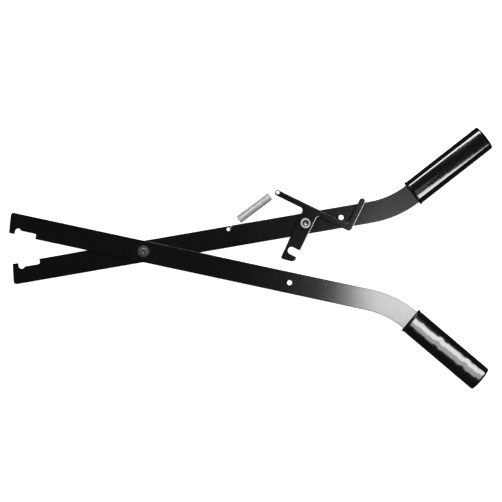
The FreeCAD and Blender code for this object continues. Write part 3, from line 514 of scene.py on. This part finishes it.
# half width over the flats in mm, depth below the top in mm, roundness
HEAD_HOLE = ((4.5, 0.1, 0.6), (4.1, 0.4, 0.1), (4.0, 0.8, 0.0), (4.0, 5.3, 0.0), (3.2, 5.6, 0.2),
             (0.4, 6.6, 1.0))
latch_low, latch_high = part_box("latch_screw")
head_top = latch_high[2]
head_base = head_top - SOCKET_HEAD_HEIGHT
head_rows = [(radius * MM, head_base + rise * MM, 0.0) for radius, rise in HEAD_FOOT]
head_rows += [(HEAD_RADIUS, head_base + level, KNURL_DEPTH) for level in np.linspace(*KNURL_LEVELS)]
head_rows += [(radius * MM, head_top - drop * MM, 0.0) for radius, drop in HEAD_TOP]
head_hole = [(flats * MM, head_top - drop * MM, roundness) for flats, drop, roundness in HEAD_HOLE]
latch_screw = make_screw(
    "latch_socket_screw", "latch_screw", "back", latch_pivot, 0.0, head_rows, head_hole,
    shank_rows(SCREW_RADIUS, latch_low[2], head_base))

# %% [markdown]
# ## Effects that several finishes share
# Each effect is a small node group with its own named settings, and gives out a mask or a height. A
# finish then decides what the mask changes: scuffs change roughness, grain changes the surface's height.

# %% Shared effects
def new_group(name, inputs, outputs):
    """An empty shader group with float or vector inputs as (name, kind, default) and float outputs."""
    group = bpy.data.node_groups.new(name, "ShaderNodeTree")
    for label, kind, default in inputs:
        socket = group.interface.new_socket(label, in_out="INPUT", socket_type=kind)
        if default is not None:
            socket.default_value = default
    for label in outputs:
        group.interface.new_socket(label, in_out="OUTPUT", socket_type="NodeSocketFloat")
    inside = group.nodes.new("NodeGroupInput")
    outside = group.nodes.new("NodeGroupOutput")
    return group, inside, outside


def add_math(tree, operation, first, second=None, clamp=False):
    """One math node; each side is a number or another node's output."""
    node = tree.nodes.new("ShaderNodeMath")
    node.operation = operation
    node.use_clamp = clamp
    for socket, value in zip(node.inputs, (first, second)):
        if isinstance(value, bpy.types.NodeSocket):
            tree.links.new(value, socket)
        elif value is not None:
            socket.default_value = value
    return node.outputs["Value"]


def add_noise(tree, vector, scale, detail=4.0, roughness=0.55):
    """Noise over a position; scale is a number or an output."""
    node = tree.nodes.new("ShaderNodeTexNoise")
    node.inputs["Detail"].default_value = detail
    node.inputs["Roughness"].default_value = roughness
    tree.links.new(vector, node.inputs["Vector"])
    if isinstance(scale, bpy.types.NodeSocket):
        tree.links.new(scale, node.inputs["Scale"])
    else:
        node.inputs["Scale"].default_value = scale
    return node.outputs["Fac"]


def make_grain_group():
    """Pebbled paint or moulding grain: coarse and fine noise added into one height."""
    group, inside, outside = new_group(
        "surface_grain",
        [("Position", "NodeSocketVector", None), ("Coarse Scale", "NodeSocketFloat", 400.0),
         ("Fine Scale", "NodeSocketFloat", 2200.0), ("Fine Share", "NodeSocketFloat", 0.3)],
        ["Height"])
    coarse = add_noise(group, inside.outputs["Position"], inside.outputs["Coarse Scale"], 2.0)
    fine = add_noise(group, inside.outputs["Position"], inside.outputs["Fine Scale"], 2.0)
    share = add_math(group, "MULTIPLY", fine, inside.outputs["Fine Share"])
    group.links.new(add_math(group, "ADD", coarse, share), outside.inputs["Height"])
    return group


SCRATCH_LEVEL, SCRATCH_CONTRAST = 0.62, 4.0
PATCH_LEVEL, PATCH_CONTRAST = 0.45, 2.5
SCRATCH_STRETCH = (0.08, 1.0, 1.0)
SCRATCH_TURN = (0.0, 0.0, 0.5)


def sharpen(tree, value, level, contrast):
    """What a value has above a level, times a contrast, held in 0 to 1."""
    above = add_math(tree, "SUBTRACT", value, level, clamp=True)
    return add_math(tree, "MULTIPLY", above, contrast, clamp=True)


def make_scuff_group():
    """Handling marks: broad worn patches, and thin scratches from noise stretched along one direction."""
    group, inside, outside = new_group(
        "handling_scuffs",
        [("Position", "NodeSocketVector", None), ("Patch Scale", "NodeSocketFloat", 30.0),
         ("Scratch Scale", "NodeSocketFloat", 260.0), ("Scratch Share", "NodeSocketFloat", 0.5)],
        ["Mask"])
    patches = add_noise(group, inside.outputs["Position"], inside.outputs["Patch Scale"], 6.0, 0.6)
    stretch = group.nodes.new("ShaderNodeMapping")
    stretch.inputs["Scale"].default_value = SCRATCH_STRETCH
    stretch.inputs["Rotation"].default_value = SCRATCH_TURN
    group.links.new(inside.outputs["Position"], stretch.inputs["Vector"])
    lines = add_noise(group, stretch.outputs["Vector"], inside.outputs["Scratch Scale"], 3.0, 0.7)
    thin = sharpen(group, lines, SCRATCH_LEVEL, SCRATCH_CONTRAST)
    worn = sharpen(group, patches, PATCH_LEVEL, PATCH_CONTRAST)
    scratch = add_math(group, "MULTIPLY", thin, inside.outputs["Scratch Share"])
    group.links.new(add_math(group, "ADD", worn, scratch, clamp=True), outside.inputs["Mask"])
    return group


RING_BREAKS = 900.0


def make_turned_group():
    """Lathe marks: rings round an upright axis through Centre, waving with the distance from it."""
    group, inside, outside = new_group(
        "turned_rings",
        [("Position", "NodeSocketVector", None), ("Centre", "NodeSocketVector", None),
         ("Rings Per Metre", "NodeSocketFloat", 4000.0)],
        ["Height"])
    away = group.nodes.new("ShaderNodeVectorMath")
    away.operation = "SUBTRACT"
    group.links.new(inside.outputs["Position"], away.inputs[0])
    group.links.new(inside.outputs["Centre"], away.inputs[1])
    level = group.nodes.new("ShaderNodeVectorMath")
    level.operation = "MULTIPLY"
    level.inputs[1].default_value = (1.0, 1.0, 0.0)
    group.links.new(away.outputs["Vector"], level.inputs[0])
    length = group.nodes.new("ShaderNodeVectorMath")
    length.operation = "LENGTH"
    group.links.new(level.outputs["Vector"], length.inputs[0])
    wave = add_math(group, "SINE", add_math(group, "MULTIPLY", length.outputs["Value"],
                                            inside.outputs["Rings Per Metre"]))
    break_up = add_noise(group, inside.outputs["Position"], RING_BREAKS)
    group.links.new(add_math(group, "MULTIPLY", wave, break_up), outside.inputs["Height"])
    return group


grain = make_grain_group()
scuffs = make_scuff_group()
turned = make_turned_group()
print("shared effects:", [group.name for group in (grain, scuffs, turned)])

# %% [markdown]
# ## Finishes
# Bars and latch carry black powder coat: nearly no colour of its own, a pebbled skin and soft sheen.
# On the latch, the rounded edges that face one side get a painted highlight, a near-white base colour.
# Grips are glossy vinyl, screws are dry black oxide, spring, bush, washers and nuts are bright zinc, pins
# are bare turned steel, and the lock rings and thrust washer are nylon.
# Each finish is one function of a few numbers, so that the two blacks differ only where they really do.

# %% Finishes
EDGE_SAMPLES = 8
LEVER_EDGE = 0.5 * MM
LATCH_EDGE = 1.2 * MM
# Painted highlight on the latch: the heading its lit edges face, their near-white colour, and the level
# and contrast of the mask
EDGE_HIGHLIGHT_TURN = math.radians(-26.5)
PAINTED_EDGE_HIGHLIGHT_COLOUR = (0.8, 0.8, 0.8, 1.0)
EDGE_HIGHLIGHT_LEVEL, EDGE_HIGHLIGHT_CONTRAST = 0.08, 8.0
# Painted shade in the screws' sockets: how far the occlusion reaches and how hard it darkens
SOCKET_SHADE_REACH = 4.0 * MM
SOCKET_SHADE_POWER = 3.0
FINE_GRAIN_HEIGHT = 0.02 * MM
TURNED_HEIGHT = 0.03 * MM
VINYL_WAVE_HEIGHT = 0.1 * MM


def start_finish(name, colour, metallic, roughness):
    """A material with a principled shader and the object's own coordinates."""
    material = bpy.data.materials.new(name)
    material.use_nodes = True
    tree = material.node_tree
    shader = next(node for node in tree.nodes if node.type == "BSDF_PRINCIPLED")
    shader.inputs["Base Color"].default_value = (*colour, 1.0)
    shader.inputs["Metallic"].default_value = metallic
    shader.inputs["Roughness"].default_value = roughness
    position = tree.nodes.new("ShaderNodeTexCoord").outputs["Object"]
    return material, tree, shader, position


def use_group(tree, group, position, **settings):
    """One use of a shared effect; a setting's name is the input's name with underscores."""
    node = tree.nodes.new("ShaderNodeGroup")
    node.node_tree = group
    tree.links.new(position, node.inputs["Position"])
    for label, value in settings.items():
        node.inputs[label.replace("_", " ")].default_value = value
    return node.outputs[0]


def vary_roughness(tree, shader, mask, low, high):
    """Roughness from low where the mask is 0 to high where it is 1."""
    spread = tree.nodes.new("ShaderNodeMapRange")
    spread.inputs["To Min"].default_value = low
    spread.inputs["To Max"].default_value = high
    tree.links.new(mask, spread.inputs["Value"])
    tree.links.new(spread.outputs["Result"], shader.inputs["Roughness"])


def vary_colour(tree, shader, mask, first, second):
    """Base colour from first to second with the mask."""
    mix = tree.nodes.new("ShaderNodeMix")
    mix.data_type = "RGBA"
    mix.inputs["A"].default_value = (*first, 1.0)
    mix.inputs["B"].default_value = (*second, 1.0)
    tree.links.new(mask, mix.inputs["Factor"])
    tree.links.new(mix.outputs["Result"], shader.inputs["Base Color"])


def rounded_normal(tree, edge):
    """The surface's normal as it would be with its corners rounded by a radius."""
    rounding = tree.nodes.new("ShaderNodeBevel")
    rounding.samples = EDGE_SAMPLES
    rounding.inputs["Radius"].default_value = edge
    return rounding.outputs["Normal"]


def raise_surface(tree, shader, height, distance, strength=1.0, edge=0.0):
    """Bump the surface by a height signal that stands for distance metres, on corners rounded by edge."""
    bump = tree.nodes.new("ShaderNodeBump")
    bump.inputs["Strength"].default_value = strength
    bump.inputs["Distance"].default_value = distance
    tree.links.new(height, bump.inputs["Height"])
    if edge:
        tree.links.new(rounded_normal(tree, edge), bump.inputs["Normal"])
    tree.links.new(bump.outputs["Normal"], shader.inputs["Normal"])


def paint_edge_highlight(tree, shader, edge, side):
    """Painted highlight: a near-white base colour on rounded edges that face one side: n . side x n up,
    sharpened into a mask.
    """
    own = tree.nodes.new("ShaderNodeVectorTransform")
    own.vector_type = "NORMAL"
    own.convert_from, own.convert_to = "WORLD", "OBJECT"
    tree.links.new(rounded_normal(tree, edge), own.inputs["Vector"])
    facing = tree.nodes.new("ShaderNodeVectorMath")
    facing.operation = "DOT_PRODUCT"
    facing.inputs[1].default_value = side
    tree.links.new(own.outputs["Vector"], facing.inputs[0])
    split = tree.nodes.new("ShaderNodeSeparateXYZ")
    tree.links.new(own.outputs["Vector"], split.inputs["Vector"])
    both = add_math(tree, "MULTIPLY", facing.outputs["Value"], split.outputs["Z"])
    above = add_math(tree, "SUBTRACT", both, EDGE_HIGHLIGHT_LEVEL)
    mask = add_math(tree, "MULTIPLY", above, EDGE_HIGHLIGHT_CONTRAST, clamp=True)
    # the mask mixes the painted highlight colour into the base colour
    mix = tree.nodes.new("ShaderNodeMix")
    mix.data_type = "RGBA"
    mix.inputs["B"].default_value = PAINTED_EDGE_HIGHLIGHT_COLOUR
    tree.links.new(shader.inputs["Base Color"].links[0].from_socket, mix.inputs["A"])
    tree.links.new(mask, mix.inputs["Factor"])
    tree.links.new(mix.outputs["Result"], shader.inputs["Base Color"])


def powder_coat(name, edge, highlight_side=None):
    """Black powder coat on rounded edges: fine pebbles, scuffs that dull and lighten it a little, and a
    painted highlight on the edges that face a given side.
    """
    material, tree, shader, position = start_finish(name, (0.0026, 0.0023, 0.0024), 0.0, 0.13)
    worn = use_group(tree, scuffs, position, Patch_Scale=18.0, Scratch_Scale=180.0, Scratch_Share=0.35)
    vary_roughness(tree, shader, worn, 0.12, 0.15)
    vary_colour(tree, shader, worn, (0.0021, 0.0018, 0.0019), (0.0034, 0.0031, 0.0032))
    pebbles = use_group(tree, grain, position, Coarse_Scale=900.0, Fine_Scale=3200.0, Fine_Share=0.4)
    raise_surface(tree, shader, pebbles, FINE_GRAIN_HEIGHT, 0.12, edge)
    # painted highlight on the rounded edges that face the given side
    if highlight_side is not None:
        paint_edge_highlight(tree, shader, edge, highlight_side)
    return material


def glossy_vinyl():
    """Dipped vinyl: near-mirror black, a slow mould waviness and a few dull finger marks."""
    material, tree, shader, position = start_finish("black_vinyl", (0.003, 0.003, 0.0032), 0.0, 0.12)
    marks = use_group(tree, scuffs, position, Patch_Scale=26.0, Scratch_Scale=120.0, Scratch_Share=0.25)
    vary_roughness(tree, shader, marks, 0.07, 0.11)
    skin_height = use_group(tree, grain, position, Coarse_Scale=45.0, Fine_Scale=500.0, Fine_Share=0.01)
    raise_surface(tree, shader, skin_height, VINYL_WAVE_HEIGHT, 0.3)
    return material


def black_oxide(centre, name, brightness):
    """Dry black oxide steel: grey and soft, lathe rings round its axis, painted shade darkening the
    socket and other recesses.
    """
    shade = (0.8 * brightness,) * 3
    material, tree, shader, position = start_finish(name, shade, 0.7, 0.36)
    marks = use_group(tree, scuffs, position, Patch_Scale=160.0, Scratch_Scale=900.0, Scratch_Share=0.6)
    vary_roughness(tree, shader, marks, 0.3, 0.42)
    # painted shade: ambient occlusion takes the base colour to near black in the socket and other
    # recesses, and the scuff mask raises the mix a little
    recess_shade = tree.nodes.new("ShaderNodeAmbientOcclusion")
    recess_shade.inputs["Distance"].default_value = SOCKET_SHADE_REACH
    unshaded_share = add_math(tree, "POWER", recess_shade.outputs["AO"], SOCKET_SHADE_POWER)
    unshaded_and_scuffed = add_math(tree, "MULTIPLY", unshaded_share, add_math(tree, "ADD", marks, 1.0))
    vary_colour(tree, shader, unshaded_and_scuffed, (0.004, 0.004, 0.004), shade)
    rings = use_group(tree, turned, position, Centre=tuple(centre), Rings_Per_Metre=9000.0)
    raise_surface(tree, shader, rings, FINE_GRAIN_HEIGHT, 0.4)
    return material


def turned_steel(centre, name):
    """Bare steel pin with lathe rings round its own axis."""
    material, tree, shader, position = start_finish(name, (0.82, 0.81, 0.79), 1.0, 0.42)
    marks = use_group(tree, scuffs, position, Patch_Scale=220.0, Scratch_Scale=1500.0, Scratch_Share=0.5)
    vary_roughness(tree, shader, marks, 0.38, 0.5)
    rings = use_group(tree, turned, position, Centre=tuple(centre), Rings_Per_Metre=12000.0)
    raise_surface(tree, shader, rings, TURNED_HEIGHT, 0.5)
    return material


def zinc_plate(name, roughness, brightness, metallic):
    """Bright zinc: a blue-grey metal with cloudy patches and a fine grain."""
    material, tree, shader, position = start_finish(name, (0.6 * brightness,) * 3, metallic, roughness)
    clouds = use_group(tree, scuffs, position, Patch_Scale=90.0, Scratch_Scale=700.0, Scratch_Share=0.4)
    vary_roughness(tree, shader, clouds, roughness - 0.06, roughness + 0.12)
    light, dull = np.array((0.62, 0.63, 0.64)), np.array((0.45, 0.46, 0.47))
    vary_colour(tree, shader, clouds, brightness * light, brightness * dull)
    crystals = use_group(tree, grain, position, Coarse_Scale=1500.0, Fine_Scale=4200.0, Fine_Share=0.5)
    raise_surface(tree, shader, crystals, FINE_GRAIN_HEIGHT, 0.3)
    return material


def white_nylon():
    """Milky nylon with a matt turned face."""
    material, tree, shader, position = start_finish("white_nylon", (0.75, 0.74, 0.7), 0.0, 0.45)
    shader.inputs["Subsurface Weight"].default_value = 0.15
    shader.inputs["Subsurface Radius"].default_value = (0.001, 0.001, 0.0008)
    marks = use_group(tree, scuffs, position, Patch_Scale=120.0, Scratch_Scale=600.0, Scratch_Share=0.3)
    vary_roughness(tree, shader, marks, 0.4, 0.55)
    vary_colour(tree, shader, marks, (0.76, 0.75, 0.71), (0.6, 0.59, 0.55))
    return material


def dress(target, material):
    """One finish on the whole piece."""
    target.data.materials.clear()
    target.data.materials.append(material)


lever_coat = powder_coat("black_powder_coat", LEVER_EDGE)
# the latch's coat carries a painted highlight on its rounded edges that face right and a little down
latch_coat = powder_coat("black_powder_coat_latch", LATCH_EDGE, heading(EDGE_HIGHLIGHT_TURN))
vinyl = glossy_vinyl()
spring_zinc = zinc_plate("bright_spring_zinc", 0.4, 1.15, 0.5)
hardware_zinc = zinc_plate("zinc_plated_steel", 0.34, 1.0, 1.0)
nylon = white_nylon()
for name in ("back_lever", "front_lever"):
    dress(nodes[name], lever_coat)
dress(nodes["latch_plate"], latch_coat)
for grip in (back_grip, front_grip):
    dress(grip, vinyl)
dress(pivot_screw, black_oxide(main_pivot, "black_oxide_pivot", 0.22))
dress(latch_screw, black_oxide(latch_pivot, "black_oxide_latch", 0.3))
for name in ("stop_pin", "catch_pin"):
    dress(nodes[name], turned_steel(box_middle(name), f"turned_{name}"))
for piece in spring_pieces:
    dress(piece, spring_zinc)
for name in ("latch_bush", "pivot_back_washer", "latch_back_washer", "pivot_lock_nut",
             "latch_lock_nut"):
    dress(nodes[name], hardware_zinc)
for name in ("pivot_thrust_washer", "pivot_nut_insert", "latch_nut_insert"):
    dress(nodes[name], nylon)
print("finishes:", sorted(material.name for material in bpy.data.materials))

# %% [markdown]
# ## Studio
# The tool lies on a white sheet that is lit until it burns out, so that hardly a shadow is left. The
# sheet stays out of reflections, which keeps the black parts' edges dark.
# Flat black parts show only what they mirror. Three soft panels beside the camera, over the handles, turn
# the handle bends grey while the jaws stay black. Two panels to the upper left draw the streak along the
# upper grip. All of them hang at the camera's height and face straight down.

# %% Floor
FLOOR_HALF = 3.0
FLOOR_DROP = 0.2 * MM
FLOOR_ROWS = 24
FLOOR_GLOW = 1.0


def make_floor():
    """A flat sheet just under the tool, as a grid of points (x, y, 0) moved down by a hair."""
    side = np.linspace(-FLOOR_HALF, FLOOR_HALF, FLOOR_ROWS)
    x, y = np.meshgrid(side, side, indexing="ij")
    points = np.stack([x, y, np.full_like(x, -FLOOR_DROP)], axis=-1).reshape(-1, 3)
    row, column = np.meshgrid(np.arange(FLOOR_ROWS - 1), np.arange(FLOOR_ROWS - 1), indexing="ij")
    corner = (row * FLOOR_ROWS + column).ravel()
    quads = np.stack([corner, corner + FLOOR_ROWS, corner + FLOOR_ROWS + 1, corner + 1], axis=-1)
    mesh = bpy.data.meshes.new("studio_sheet")
    mesh.from_pydata(points.tolist(), [], quads.tolist())
    sheet = bpy.data.objects.new("studio_sheet", mesh)
    bpy.context.collection.objects.link(sheet)
    material, tree, shader, position = start_finish("white_sheet", (0.9, 0.9, 0.9), 0.0, 0.8)
    shader.inputs["Specular IOR Level"].default_value = 0.1
    fibres = use_group(tree, grain, position, Coarse_Scale=40.0, Fine_Scale=600.0, Fine_Share=0.5)
    vary_colour(tree, shader, fibres, (0.88, 0.88, 0.88), (0.92, 0.92, 0.92))
    shader.inputs["Emission Color"].default_value = (1.0, 1.0, 1.0, 1.0)
    shader.inputs["Emission Strength"].default_value = FLOOR_GLOW
    sheet.data.materials.append(material)
    sheet.visible_glossy = False
    print(f"studio_sheet: {2 * FLOOR_HALF} m wide, {len(quads)} quads")


make_floor()

# %% [markdown]
# ## Lights
# Each panel's place and size set where it mirrors in the flat bars: a point of a panel beside the camera
# mirrors half way between the point below it and the point below the camera.

# %% Lights
CAMERA_HEIGHT = 2.2
# name, x, y, width along x, width along y, brightness
PANELS = (
    ("handle_panel", 0.68, -0.115, 0.74, 0.21, 19.0),
    ("handle_panel_lower", 0.6, -0.33, 0.5, 0.22, 8.0),
    ("handle_panel_upper", 0.46, 0.13, 0.24, 0.18, 1.3),
    ("streak_panel", 0.3, 0.91, 0.6, 0.5, 24.0),
    ("streak_panel_far", -0.35, 1.1, 0.6, 0.5, 30.0),
)
GLOSSY_SURROUND = 0.07
SEEN_SURROUND = 0.85


def add_panel(name, x, y, width, depth, brightness):
    """A rectangular soft light facing straight down; power = pi x area x brightness."""
    light = bpy.data.lights.new(name, "AREA")
    light.shape = "RECTANGLE"
    light.size, light.size_y = width, depth
    light.energy = math.pi * width * depth * brightness
    panel = bpy.data.objects.new(name, light)
    panel.location = (x, y, CAMERA_HEIGHT)
    panel.rotation_euler = Vector((0.0, 0.0, -CAMERA_HEIGHT)).to_track_quat("-Z", "Y").to_euler()
    bpy.context.collection.objects.link(panel)


for panel_row in PANELS:
    add_panel(*panel_row)
print("panels:", [name for name, *_ in PANELS])

world = bpy.data.worlds.new("studio_surroundings")
world.use_nodes = True
world_tree = world.node_tree
surround = next(node for node in world_tree.nodes if node.type == "BACKGROUND")
seen = world_tree.nodes.new("ShaderNodeLightPath")
brighten = world_tree.nodes.new("ShaderNodeMapRange")
brighten.inputs["To Min"].default_value = GLOSSY_SURROUND
brighten.inputs["To Max"].default_value = SEEN_SURROUND
world_tree.links.new(seen.outputs["Is Camera Ray"], brighten.inputs["Value"])
world_tree.links.new(brighten.outputs["Result"], surround.inputs["Strength"])
surround.inputs["Color"].default_value = (1.0, 1.0, 1.0, 1.0)
bpy.context.scene.world = world

# %% [markdown]
# ## Camera
# The picture is taken from straight above, with the tool turned very slightly in it.

# %% Camera
VIEW_WIDTH = 0.74346
PICTURE_PLANE = 0.018
PICTURE_TURN = math.radians(1.145)
CAMERA_X, CAMERA_Y = 1.6 * MM, 3.8 * MM
SENSOR_WIDTH = 36.0
camera_data = bpy.data.cameras.new("overhead_camera")
camera_data.sensor_width = SENSOR_WIDTH
camera_data.lens = SENSOR_WIDTH * (CAMERA_HEIGHT - PICTURE_PLANE) / VIEW_WIDTH
camera = bpy.data.objects.new("overhead_camera", camera_data)
camera.location = (CAMERA_X, CAMERA_Y, CAMERA_HEIGHT)
camera.rotation_euler = (0.0, 0.0, PICTURE_TURN)
bpy.context.collection.objects.link(camera)
scene = bpy.context.scene
scene.camera = camera
scene.view_settings.view_transform = "Standard"
print("lens in mm:", round(camera_data.lens, 1))
